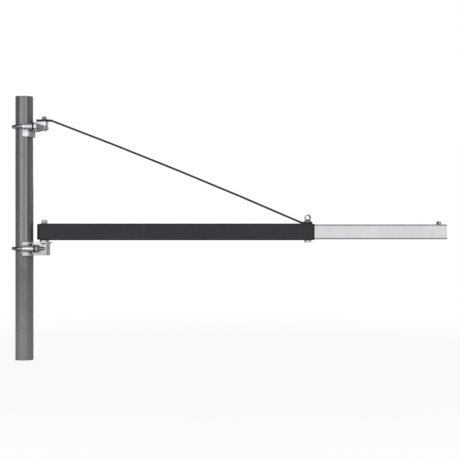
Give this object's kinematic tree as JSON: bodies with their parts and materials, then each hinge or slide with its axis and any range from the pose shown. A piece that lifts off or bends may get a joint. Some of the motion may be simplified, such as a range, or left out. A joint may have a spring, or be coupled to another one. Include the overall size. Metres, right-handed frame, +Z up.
{
  "type": "hoist swing arm",
  "caption": "Square telescopic arm that swings on two clamped pivots of an upright tube, held by a sloping flat-bar stay, with an eye screw at the sleeve's mouth.",
  "frame": {"origin": "centre of the post's foot", "axes": "+X along the arm away from the post, +Z up along the post, +Y across"},
  "size_m": [1.172, 0.08, 0.71],
  "materials": {
    "post_steel": "weathered mid-grey steel tube",
    "bright_zinc": "bright zinc plate",
    "dull_zinc": "zinc-plated fasteners",
    "black_paint": "satin anthracite powder coat",
    "black_plastic": "moulded black plastic",
    "galvanised": "light grey galvanised tube"
  },
  "bodies": {
    "post": {"post_tube": "post_steel", "u_bolts": "dull_zinc", "saddles": "bright_zinc", "brackets": "bright_zinc", "clamp_washers": "dull_zinc", "clamp_nuts": "dull_zinc", "arm_pivot_bolt": "dull_zinc", "stay_pivot_bolt": "dull_zinc", "thrust_washers": "bright_zinc", "pivot_lock_nuts": "dull_zinc"},
    "arm": {"arm_tube": "black_paint", "end_cap": "black_plastic", "tube_collar": "black_plastic", "stay_bar": "black_paint", "eye_screw": "dull_zinc", "eye_screw_washer": "bright_zinc", "counter_screw": "dull_zinc"},
    "extension": {"extension_tube": "galvanised", "stop_bolt": "dull_zinc", "stop_lock_nut": "dull_zinc"}
  },
  "joints": [
    {"name": "arm_swing", "type": "hinge", "parent": "post", "child": "arm", "pos_m": [0.054, 0, 0.345], "axis": [0, 0, 1], "range_deg": [-90, 90]},
    {"name": "extension_slide", "type": "slide", "parent": "arm", "child": "extension", "axis": [1, 0, 0], "range_m": [-0.32, 0]}
  ]
}
